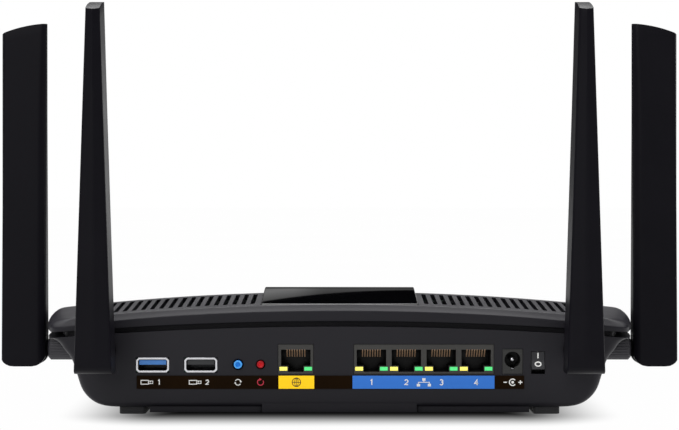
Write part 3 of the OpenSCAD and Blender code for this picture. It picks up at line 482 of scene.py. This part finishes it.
def corner(points, at, reach, n=4):
    """Rounds the outline's corner at that index with a short parabola."""
    a, b, c = (Vector(points[at + k]) for k in (-1, 0, 1))
    start, end = b + (a - b).normalized() * reach, b + (c - b).normalized() * reach
    return [tuple((1 - t) ** 2 * start + 2 * t * (1 - t) * b + t * t * end) for t in (i / n for i in range(n + 1))]


def tub_outer():
    """(half width, height) up the housing's side, from the floor to the rim under the lid."""
    low = [(FLOOR_HALF + FLOOR_R * math.sin(math.radians(a)), FOOT_H + FLOOR_R - FLOOR_R * math.cos(math.radians(a)))
           for a in range(0, 73, 6)]
    cove = arc(COVE_X, COVE_Z, COVE_R, 155, 100, 9)
    line = [low[-1], (LEAN_HALF, LEAN_Z), cove[0]]
    return low + corner(line, 1, 2.4) + cove


FEET = [(x, y) for x in (-83, 83) for y in (REAR + 13, FRONT - 36)]


def foot_outline(x, y, gap=0.0):
    r, out = 1.5 + gap, []
    for sx, sy, start in ((1, 1, 0), (-1, 1, 90), (-1, -1, 180), (1, -1, 270)):
        out += arc(x + 3.8 * sx, y + 9.8 * sy, r, start, start + 90, 8)
    return out


def make_feet():
    feet = piece("feet", *joined([prism(foot_outline(x, y), 0, FOOT_H + 0.6) for x, y in FEET]),
                 FINISHES["foot_rubber"], body="body", slot="foot_rubber")
    bevelled(feet, 0.35, 3, 50)
    shade(feet, 40)
    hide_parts("rubber_feet")


def make_tub():
    rings = []
    for half, z in tub_outer():
        rings.append(tub_ring(half, 1.2 * max(0.0, 1 - (z - FOOT_H) / 1.6) ** 2, z))
    tongue, inner, tongue_h = LID_HALF - 6, LID_HALF - 7.6, 2.8
    rings += [tub_ring(tongue, WALL + 0.2, RIM_Z, LID_BOW), tub_ring(tongue, WALL + 0.2, RIM_Z, LID_BOW, tongue_h),
              tub_ring(inner, WALL + 1.8, RIM_Z, LID_BOW, tongue_h), tub_ring(inner, WALL + 1.8, RIM_Z, LID_BOW, -1.1)]
    a = math.radians(155)
    rings.append(tub_ring(COVE_X + 10.2 * math.cos(a), WALL, COVE_Z + 5.8 * math.sin(a)))
    rings.append(tub_ring(LEAN_HALF - WALL, WALL, LEAN_Z))
    rings += [tub_ring(FLOOR_HALF + (FLOOR_R - WALL) * math.sin(math.radians(b)), WALL,
                       FOOT_H + FLOOR_R - (FLOOR_R - WALL) * math.cos(math.radians(b))) for b in range(72, -1, -12)]
    tub = piece("housing", *loft(rings), FINISHES["housing_plastic"])
    plinth = block((-PLINTH_HALF, REAR + 0.03, PLINTH_LOW), (PLINTH_HALF, REAR + 14, FOOT_H + 1.2))
    lip = block((-PLINTH_HALF, REAR + 0.03, PLINTH_LOW + 0.1), (PLINTH_HALF, REAR + 2, FOOT_H + 1.7))
    strip = block((-STRIP_HALF, REAR + 1, PLINTH_LOW), (STRIP_HALF, REAR + 12, FOOT_H + 1.5))
    for name, solid in (("plinth", plinth), ("plinth_lip", lip), ("base_strip", strip)):
        boolean(tub, piece(name, *solid, FINISHES["housing_plastic"]), "UNION")
    cuts = []
    for name in ("internet_jack", "ethernet_jack_block", "usb3_shell", "usb2_shell", "dc_jack"):
        low, high = box_mm(name)
        cuts.append(block((low.x - 0.12, REAR - 3, low.z - 0.12), (high.x + 0.12, REAR + 4, high.z + 0.12)))
    low, high = box_mm("power_switch_housing")
    mid_x = (low.x + high.x) / 2
    cuts.append(block((mid_x - 2.75, REAR - 3, low.z + 1.5), (mid_x + 2.75, REAR + 4, high.z - 1.2)))
    for name, r in (("pairing_button", 2.2), ("reset_button", 1.9)):
        low, high = box_mm(name)
        x, z = (low.x + high.x) / 2, (low.z + high.z) / 2
        cuts.append(rod(r, REAR - 3, REAR + 0.6, x, z))
        cuts.append(rod(r - 0.42, REAR + 0.5, REAR + 4, x, z))
    for x in range(-54, 55, 6):  # vents in the floor
        for y in (REAR + 62, REAR + 100):
            cuts.append(prism(pill(x, y + 13, 2, 26), FOOT_H - 2, FOOT_H + 4))
    for x in (-82, 82):  # case screw wells
        for y in (REAR + 19, FRONT - 34):
            cuts.append(prism(arc(x, y, 3.1, 0, 351, 39), FOOT_H - 2, FOOT_H + 3.4))
    for x, y in FEET:
        cuts.append(prism(foot_outline(x, y, 0.05), FOOT_H - 4, FOOT_H + 0.6))
    for place in MOUNTS.values():
        ring = [(5.6 * math.cos(math.radians(b)), 5.6 * math.sin(math.radians(b))) for b in range(0, 360, 6)]
        points, faces = prism(ring, -2.1, 12, lambda p, h: (h, p[0], p[1]))
        cuts.append(([tuple(place @ Vector(p)) for p in points], faces))
    tool = piece("tub_cuts", *joined(cuts), FINISHES["housing_plastic"])
    boolean(tub, tool)
    shade(tub, 30)
    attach(tub, "body")
    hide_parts("bottom_housing")


# ---------------------------------------------------------------- antennas

GAP, DEEP, BLADE_L, PIN_UP = 11.0, 19.1, 145.4, 7.3
BASE_T, TIP_T = 14.7, 5.3
ANTENNAS = ("rear_left", "rear_right", "side_left", "side_right")


def mount(name):
    """Connector frame: +X out of the body, +Z up."""
    low, high = box_mm(name + "_collar")
    middle = (low + high) / 2
    if name.startswith("rear"):
        return Matrix.Translation((middle.x, REAR, middle.z)) @ Matrix.Rotation(math.radians(-90), 4, "Z")
    side = 1 if name.endswith("right") else -1
    face = (low.x + 0.9) if side > 0 else (high.x - 0.9)
    return Matrix.Translation((face, middle.y, middle.z)) @ Matrix.Rotation(0 if side > 0 else math.pi, 4, "Z")


MOUNTS = {name: mount(name) for name in ANTENNAS}


def half_thick(z):
    return (BASE_T + (TIP_T - BASE_T) * z / BLADE_L) / 2


def side_at(x, z):
    """Half thickness of the blade at a distance from its inner face: a full nose, and a faintly bulging outer face."""
    h = half_thick(z)
    nose, small, bulge = min(h - 0.4, 3.6), min(1.2, h / 2), 0.7
    if x < nose:
        return h - nose + math.sqrt(max(0.0, nose ** 2 - (nose - x) ** 2))
    edge = DEEP - bulge - small
    if x <= edge:
        return h
    turn = math.acos(min(1.0, bulge / (h - 0.4)))
    last = edge + small * math.sin(turn)
    if x <= last:
        return h - small + math.sqrt(max(0.0, small ** 2 - (x - edge) ** 2))
    start = h - small + small * math.cos(turn)
    return start * (DEEP - x) / (DEEP - last)


def blade_heights(x):
    """Bottom and top of the blade at a distance from its inner face."""
    r, top = 5.6, 54.0
    low = 0.0
    if x < r:
        low = r - math.sqrt(max(0.0, r * r - (r - x) ** 2))
    if x > DEEP - r:
        low = r - math.sqrt(max(0.0, r * r - (x - DEEP + r) ** 2))
    return low, BLADE_L + 0.03 - top + math.sqrt(top * top - (x + 2.4) ** 2)


def blade_solid(name):
    """Columns of constant x round the section, from the rounded bottom to the sloping top."""
    xs = [3.6 * (1 - math.cos(math.radians(a))) for a in range(0, 91, 10)]
    xs += [5.6, 8, 11, 13.1, 15, 16.4] + [DEEP - 1.9 + 1.2 * math.sin(math.radians(a)) for a in range(0, 91, 15)]
    xs += [DEEP - 0.45, DEEP - 0.2, DEEP]
    steps = 26
    ring = [(x, 1) for x in xs] + [(x, -1) for x in reversed(xs)]
    rings = []
    for k in range(steps + 1):
        t = k / steps
        t -= 0.035 * math.sin(2 * math.pi * t)
        row = []
        for x, s in ring:
            low, high = blade_heights(x)
            z = low + (high - low) * t
            row.append((x, s * side_at(x, z), z))
        rings.append(row)
    n = len(ring)
    points = [p for row in rings for p in row]
    faces = [(k * n + i, k * n + (i + 1) % n, (k + 1) * n + (i + 1) % n, (k + 1) * n + i)
             for k in range(steps) for i in range(n)]
    for k, flip in ((0, True), (steps, False)):
        for i in range(len(xs) - 1):
            quad = [k * n + i, k * n + i + 1, k * n + n - 2 - i, k * n + n - 1 - i]
            faces.append(tuple(reversed(quad)) if flip else tuple(quad))
    return piece(name, points, faces, FINISHES["antenna_plastic"])


def slab(x0, x1, z0, z1, inset):
    """Tapering bar used to part the cover strip from the shell."""
    section = [(-half_thick(z0) + inset, z0), (half_thick(z0) - inset, z0),
               (half_thick(z1) - inset, z1), (-half_thick(z1) + inset, z1)]
    return prism(section, x0, x1, lambda p, h: (h, p[0], p[1]))


def hinge_gap():
    """The space in the blade's foot for the elbow's tongue."""
    mid = DEEP / 2
    outline = [(-1, -1), (mid + 3.6, -1), (mid + 3.6, PIN_UP - 2)]
    outline += arc(mid, PIN_UP, 4.8, -30, 120, 16) + [(mid - 3, PIN_UP + 3.6), (-1, PIN_UP + 3.6)]
    return prism(outline, -3.15, 3.15, lambda p, h: (p[0], h, p[1]))


def make_blades():
    """One shell and one cover strip are made in the blade's own frame and set at the four mounts."""
    tint = FINISHES["antenna_plastic"]
    solid = bevelled(blade_solid("blade_blank"), 0.55, 3, 45)
    shell_mesh = solid.data.copy()
    z0, z1 = 14.0, BLADE_L - 9
    cover = boolean(solid, piece("strip_tool", *slab(-1, 1.6, z0 - 0.9, z1 + 0.9, 2.08), tint), "INTERSECT")
    shell = bpy.data.objects.new("shell_blank", shell_mesh)
    bpy.context.scene.collection.objects.link(shell)
    boolean(shell, piece("recess_tool", *slab(-1, 1.9, z0 - 1.15, z1 + 1.15, 1.85), tint))
    boolean(shell, piece("gap_tool", *hinge_gap(), tint))
    for blank in (shell, cover):
        shade(blank, 28)
    for name, place in MOUNTS.items():
        for blank, kind in ((shell, "shell"), (cover, "cover")):
            mesh = blank.data.copy()
            shift = place @ Matrix.Translation((GAP, 0, -PIN_UP))
            scale = Matrix.Scale(MM, 4)
            mesh.transform(Matrix.Scale(1 / MM, 4))
            mesh.transform(scale @ shift)
            obj = bpy.data.objects.new(f"{name}_blade_{kind}", mesh)
            bpy.context.scene.collection.objects.link(obj)
            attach(obj, name + "_blade")
            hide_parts(f"{name}_{kind}")
    bpy.data.objects.remove(shell)
    bpy.data.objects.remove(cover)


# ---------------------------------------------------------------- centre panel


def make_inlay():
    """The glossy wedge: softened edges, a ridge near its rear and a pocket for the light."""
    y0, y1 = INLAY_LOW.y, INLAY_HIGH.y
    rise, sink, bulge = 1.75, 1.1, 0.15
    foot, ridge = (y0, crown(0, y0)), (RIDGE_Y - 1, CROWN_Z + 1.7)
    top = []
    for i in range(13):
        t = i / 12
        top.append((foot[0] + (ridge[0] - foot[0]) * t, foot[1] + (ridge[1] - foot[1]) * t + 4 * bulge * t * (1 - t)))
    top += [(RIDGE_Y + 3, CROWN_Z + rise - 0.05), (y1 - 4, crown(0, y1 - 4) + rise), (y1, crown(0, y1))]
    under = [(y1 + (y0 - y1) * i / 16, crown(0, y1 + (y0 - y1) * i / 16) - sink) for i in range(17)]
    outline = top + under
    panel = piece("centre_panel", *prism(outline, -INLAY_HALF, INLAY_HALF, lambda p, h: (h, p[0], p[1])),
                  FINISHES["gloss_panel"])
    bevelled(panel, 0.45, 4, 20)
    low, high = box_mm("status_lens")
    x, y = (low.x + high.x) / 2, (low.y + high.y) / 2
    boolean(panel, piece("lens_cut", *prism(pill(x, y, 2.1, 12.1, False), low.z - 0.05, high.z + 3),
                         FINISHES["gloss_panel"]))
    shade(panel, 25)
    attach(panel, "body")
    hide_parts("center_inlay")


# ---------------------------------------------------------------- buttons


def make_button(node, body, rim, slot):
    """A turned cap with a dished face, the collar behind the panel and its stem."""
    low, high = box_mm(node)
    x, z = (low.x + high.x) / 2, (low.z + high.z) / 2
    r, y, back = (high.x - low.x) / 2 - 0.9, low.y, REAR + WALL
    profile = [(0.1, y + 0.2), (r * 0.3, y + 0.19), (r * 0.5, y + 0.13), (r * 0.62, y + 0.03), (r * 0.72, y),
               (r * 0.84, y + 0.01), (r - 0.1, y + 0.08), (r, y + 0.25), (r, back + 0.12), (r + 0.88, back + 0.12),
               (r + 0.88, back + 0.88), (0.9, back + 0.88), (0.9, high.y)]
    turn = [math.radians(7.5 * i) for i in range(48)]
    rings = [[(x + a * math.cos(t), h, z + a * math.sin(t)) for t in turn] for a, h in profile]
    cap = piece(node + "_cap", *loft(rings), FINISHES[slot], body=body, slot=slot, sharp=50)
    cap.data.materials.append(rim)
    for face in cap.data.polygons:
        reach = (Vector((face.center.x, face.center.z)) / MM - Vector((x, z))).length
        if r * 0.6 < reach < r * 0.93 and face.center.y < (y + 0.2) * MM:
            face.material_index = 1
    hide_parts(node)


# ---------------------------------------------------------------- printed marks

INK_T = 0.03


class Ink:
    """Flat printed strokes on an upright plane that faces -Y, in millimetres."""

    def __init__(self, y):
        self.y, self.parts, self.count = y, [], 0

    def flat(self, outline):
        self.count += 1
        y = self.y - INK_T - 0.002 * (self.count % 5)
        points = [(p[0], y, p[1]) for p in outline]
        self.parts.append((points, [tuple(range(len(points)))]))

    def stroke(self, line, w, closed=False):
        """A ribbon along a line, with mitred corners."""
        line = [Vector(p) for p in line]
        n = len(line)
        left, right = [], []
        for i, p in enumerate(line):
            a = line[i - 1] if (i or closed) else None
            b = line[(i + 1) % n] if (i < n - 1 or closed) else None
            d0 = (p - a).normalized() if a is not None else (b - p).normalized()
            d1 = (b - p).normalized() if b is not None else d0
            mean = (d0 + d1).normalized()
            side = Vector((-mean.y, mean.x))
            reach = w / 2 / max(0.5, side.dot(Vector((-d0.y, d0.x))))
            left.append(p + side * reach)
            right.append(p - side * reach)
        if closed:
            left.append(left[0])
            right.append(right[0])
        self.count += 1
        y = self.y - INK_T - 0.002 * (self.count % 5)
        points = [(p.x, y, p.y) for p in left + right]
        m = len(left)
        self.parts.append((points, [(i, i + 1, m + i + 1, m + i) for i in range(m - 1)]))

    def numeral(self, digit, x, z, h, w=0.36):
        shapes = {
            1: [[(-0.16, 0.30), (0.06, 0.5), (0.06, -0.5)]],
            2: [arc(0, 0.2, 0.27, 165, -35, 10) + [(-0.29, -0.42), (0.3, -0.42)]],
            3: [arc(0, 0.22, 0.25, 150, -80, 10), arc(0, -0.2, 0.28, 85, -150, 12)],
            4: [[(0.14, -0.5), (0.14, 0.46), (-0.3, -0.2), (0.34, -0.2)]],
        }
        for line in shapes[digit]:
            self.stroke([(x + a * h, z + b * h) for a, b in line], w)

    def done(self, name, material, body, slot):
        piece(name, *joined(self.parts), material, body=body, slot=slot, clean=False)


def centre(node):
    low, high = box_mm(node)
    return (low + high) / 2


def make_marks():
    low, high = box_mm("port_label_strip")
    face, mid = low.y, (low.z + high.z) / 2
    white, red, black, on_blue = Ink(face), Ink(face), Ink(face), Ink(face)
    for digit, node in ((1, "usb3_shell"), (2, "usb2_shell")):
        x = centre(node).x
        white.stroke([(x - 4.6, mid - 0.75), (x - 1.6, mid - 0.75), (x - 1.6, mid + 0.75), (x - 4.6, mid + 0.75)],
                     0.32, closed=True)
        white.stroke([(x - 1.4, mid - 0.5), (x + 0.1, mid - 0.5), (x + 0.1, mid + 0.5), (x - 1.4, mid + 0.5)], 0.26)
        white.flat([(x - 1.1, mid + 0.12), (x - 0.7, mid + 0.12), (x - 0.7, mid + 0.38), (x - 1.1, mid + 0.38)])
        white.flat([(x - 1.1, mid - 0.38), (x - 0.7, mid - 0.38), (x - 0.7, mid - 0.12), (x - 1.1, mid - 0.12)])
        white.numeral(digit, x + 2.6, mid, 1.9, 0.42)
    x = centre("pairing_button").x
    for turn in (0, 180):
        c, s = math.cos(math.radians(turn)), math.sin(math.radians(turn))
        white.stroke([(x + c * a - s * b, mid + s * a + c * b) for a, b in arc(0, 0, 1.15, 20, 150, 10)], 0.34)
        tip = [(1.5, 0.42), (0.66, 0.5), (1.12, -0.25)]
        white.flat([(x + c * a - s * b, mid + s * a + c * b) for a, b in tip])
    x = centre("reset_button").x
    red.stroke([(x + a, mid + b) for a, b in arc(0, 0, 1.2, 110, 395, 18)], 0.36)
    red.flat([(x - 0.45, mid + 1.75), (x - 0.45, mid + 0.55), (x + 0.5, mid + 1.15)])
    x = centre("internet_label").x
    black.stroke([(x + a, mid + b) for a, b in arc(0, 0, 1.7, 0, 345, 23)], 0.3, closed=True)
    black.stroke([(x + 0.75 * math.cos(math.radians(a)), mid + 1.6 * math.sin(math.radians(a)))
                  for a in range(0, 360, 15)], 0.22, closed=True)
    black.stroke([(x - 1.65, mid), (x + 1.65, mid)], 0.24)
    black.stroke([(x, mid - 1.65), (x, mid + 1.65)], 0.22)
    low, high = box_mm("ethernet_jack_block")
    pitch, first = 13.97, (low.x + high.x) / 2 - 1.5 * 13.97
    for i in range(4):
        on_blue.numeral(i + 1, first + pitch * i, mid, 2.2, 0.42)
    x = (low.x + high.x) / 2
    for a, b in ((0, 1.15), (-2.2, -1.15), (2.2, -1.15)):
        on_blue.flat([(x + a - 0.65, mid + b - 0.5), (x + a + 0.65, mid + b - 0.5),
                      (x + a + 0.65, mid + b + 0.5), (x + a - 0.65, mid + b + 0.5)])
    on_blue.stroke([(x, mid + 0.65), (x, mid)], 0.26)
    on_blue.stroke([(x - 2.2, mid - 0.6), (x - 2.2, mid), (x + 2.2, mid), (x + 2.2, mid - 0.6)], 0.26)
    x = centre("dc_jack").x
    white.stroke([(x + 1.3 * math.cos(math.radians(a)), mid + 1.3 * math.sin(math.radians(a)))
                  for a in range(40, 321, 20)], 0.42)
    white.flat([(x + a, mid + b) for a, b in arc(0, 0, 0.55, 0, 330, 11)])
    white.stroke([(x - 3.6, mid), (x - 2.3, mid)], 0.42)
    white.stroke([(x + 2.3, mid), (x + 3.9, mid)], 0.42)
    white.stroke([(x + 3.1, mid - 0.8), (x + 3.1, mid + 0.8)], 0.42)
    white.done("marks_white", PRINT_WHITE, "body", "label_black")
    red.done("marks_red", PRINT_RED, "body", "label_black")
    black.done("marks_on_yellow", PRINT_BLACK, "body", "label_yellow")
    on_blue.done("marks_on_blue", PRINT_WHITE, "body", "label_blue")
    low, high = box_mm("power_rocker")
    fold, x = low.z + 3.69, (low.x + high.x) / 2
    switch = Ink(low.y + 0.97)
    switch.stroke([(x + 1.15 * math.cos(math.radians(a)), fold - 1.35 + 0.8 * math.sin(math.radians(a)))
                   for a in range(0, 360, 15)], 0.46, closed=True)
    switch.stroke([(x, fold + 0.95), (x, fold + 3.1)], 0.5)
    lean = math.tan(math.radians(16))
    switch.parts = [([(a, b - max(0.0, fold - c) * lean, c) for a, b, c in points], faces)
                    for points, faces in switch.parts]
    switch.done("marks_on_switch", PRINT_WHITE, "rocker", "switch_plastic")


# ---------------------------------------------------------------- stage, light and camera


def studio():
    """Soft light from above, and a dim backdrop that ends in a tilted edge, as reflected in the centre panel."""
    world = bpy.data.worlds.new("studio")
    bpy.context.scene.world = world
    t = Tree("studio", world)
    toward = t.add("SeparateXYZ", {0: t.add("TexCoord").outputs["Generated"]}).outputs
    smooth = "SMOOTHSTEP"

    def ramp(value, a, b, c, d):
        return t.add("MapRange", {"Value": value, "From Min": a, "From Max": b, "To Min": c, "To Max": d},
                     interpolation_type=smooth).outputs[0]

    slope = math.atan2(CROWN_Z + 1.7 - crown(0, INLAY_LOW.y), RIDGE_Y - 1 - INLAY_LOW.y)
    level = math.tan(2 * slope + math.radians(3.1))
    tilt = t.math("MULTIPLY", t.add("Clamp", {0: toward[0], 1: -0.1, 2: 0.1}).outputs[0], -0.32)
    edge = t.math("SUBTRACT", t.math("ADD", t.math("MULTIPLY", toward[1], level), tilt), 0.01)
    over = ramp(t.math("SUBTRACT", toward[2], edge), -0.0012, 0.0012, 0.0, 1.0)
    horizon = t.math("MULTIPLY", ramp(toward[0], -0.15, 0.15, 0.07, 1.1), ramp(toward[2], 0.06, 0.13, 1.0, 0.05))
    panel = t.math("MULTIPLY", ramp(toward[2], 0.2, 0.24, 0.0, 1.0), t.math("SUBTRACT", 1.0, over))
    below = t.remap(t.math("SUBTRACT", edge, toward[2]), 0.0, 0.035, 0.07, 0.16)
    panel = t.math("MULTIPLY", panel, t.math("MULTIPLY", below, ramp(toward[0], -0.045, -0.01, 2.1, 1.0)))
    back = t.math("ADD", t.math("MULTIPLY", horizon, t.math("SUBTRACT", 1.0, over)), panel)
    where = ramp(toward[1], -0.3, 0.1, 0.0, 1.0)
    around = t.math("ADD", t.math("MULTIPLY", back, where), t.math("MULTIPLY", t.math("SUBTRACT", 1.0, where), 0.12))
    above = t.math("MULTIPLY", ramp(toward[2], 0.45, 0.66, 0.0, 2.0), ramp(toward[1], -0.9, 0.2, 0.3, 1.0))
    light = t.math("ADD", around, above)
    seen = t.add("LightPath").outputs["Is Camera Ray"]
    strength = t.add("Mix", {0: seen, 2: light, 3: 1.0}).outputs[0]
    sky = t.add("Background", {"Strength": strength, "Color": (1, 1, 1, 1)})
    t.links.new(sky.outputs[0], t.add("OutputWorld").inputs[0])

    def sun(name, toward_x, toward_y, toward_z, strength, spread):
        lamp = bpy.data.lights.new(name, "SUN")
        lamp.energy, lamp.angle = strength, math.radians(spread)
        obj = bpy.data.objects.new(name, lamp)
        bpy.context.scene.collection.objects.link(obj)
        obj.rotation_mode = "QUATERNION"
        obj.rotation_quaternion = Vector((toward_x, toward_y, toward_z)).to_track_quat("Z", "Y")
        obj.visible_glossy = abs(toward_x) < 1

    sun("top_light", 0.0, 0.5, 1.0, 3.0, 50)
    sun("key_light", -0.3, -1.0, 0.5, 1.0, 40)
    sun("left_light", -1.0, -0.15, 0.2, 1.3, 40)
    sun("right_light", 1.0, -0.15, 0.2, 1.3, 40)

    # a pale floor of even brightness, with a painted soft contact shadow where the body stands: the floor's light fades
    # to near black over the body's footprint
    t = Tree("pale_floor")
    place = t.add("TexCoord").outputs["Object"]
    noise = t.add("TexNoise", {"Vector": place, "Scale": 3.0, "Detail": 3.0}).outputs["Fac"]
    spot = t.add("SeparateXYZ", {0: place}).outputs
    beside = t.math("SUBTRACT", t.math("ABSOLUTE", spot[0]), 0.07)
    middle, half = (REAR + FRONT) / 2 * MM, DEPTH / 2 * MM
    before = t.math("SUBTRACT", t.math("ABSOLUTE", t.math("SUBTRACT", spot[1], middle)), half)
    outside = t.add("CombineXYZ", {0: t.math("MAXIMUM", beside, 0.0), 1: t.math("MAXIMUM", before, 0.0)}).outputs[0]
    outside = t.add("VectorMath", {0: outside}, operation="LENGTH").outputs["Value"]
    away = t.math("ADD", outside, t.math("MINIMUM", t.math("MAXIMUM", beside, before), 0.0))
    shadow_fade = t.add("MapRange", {"Value": away, "From Min": -0.008, "From Max": 0.044},
                 interpolation_type=smooth).outputs[0]
    pale = t.blend(noise, (0.985, 0.985, 0.985, 1), (1.0, 1.0, 1.0, 1))
    shader = t.add("Emission", {"Color": t.blend(t.math("POWER", shadow_fade, 1.4), (0.004, 0.004, 0.004, 1), pale),
                                "Strength": 1.0})
    t.links.new(shader.outputs[0], t.add("OutputMaterial").inputs[0])
    floor = piece("floor", [(x * 1000, y * 1000, 0) for x, y in ((-9, -9), (9, -9), (9, 9), (-9, 9))],
                  [(0, 1, 2, 3)], t.material)


def make_camera():
    """Level with the horizon, about 775 mm behind the rear face and 90 mm up."""
    lens = bpy.data.cameras.new("camera")
    lens.lens, lens.sensor_width = 1937 / 679 * 36, 36
    lens.shift_y = -25 / 679
    lens.dof.use_dof = False
    lens.clip_start, lens.clip_end = 0.05, 60
    camera = bpy.data.objects.new("camera", lens)
    bpy.context.scene.collection.objects.link(camera)
    camera.location = (0, REAR * MM - 0.775, 0.0898)
    camera.rotation_euler = (math.radians(90), 0, 0)
    bpy.context.scene.camera = camera
    bpy.context.scene.view_settings.view_transform = "Standard"


make_lid()
make_tub()
make_feet()
make_blades()
make_inlay()
make_button("pairing_button", "pairing_cap", RIM_BLUE, "button_blue")
make_button("reset_button", "reset_cap", RIM_RED, "button_red")
make_marks()
studio()
make_camera()
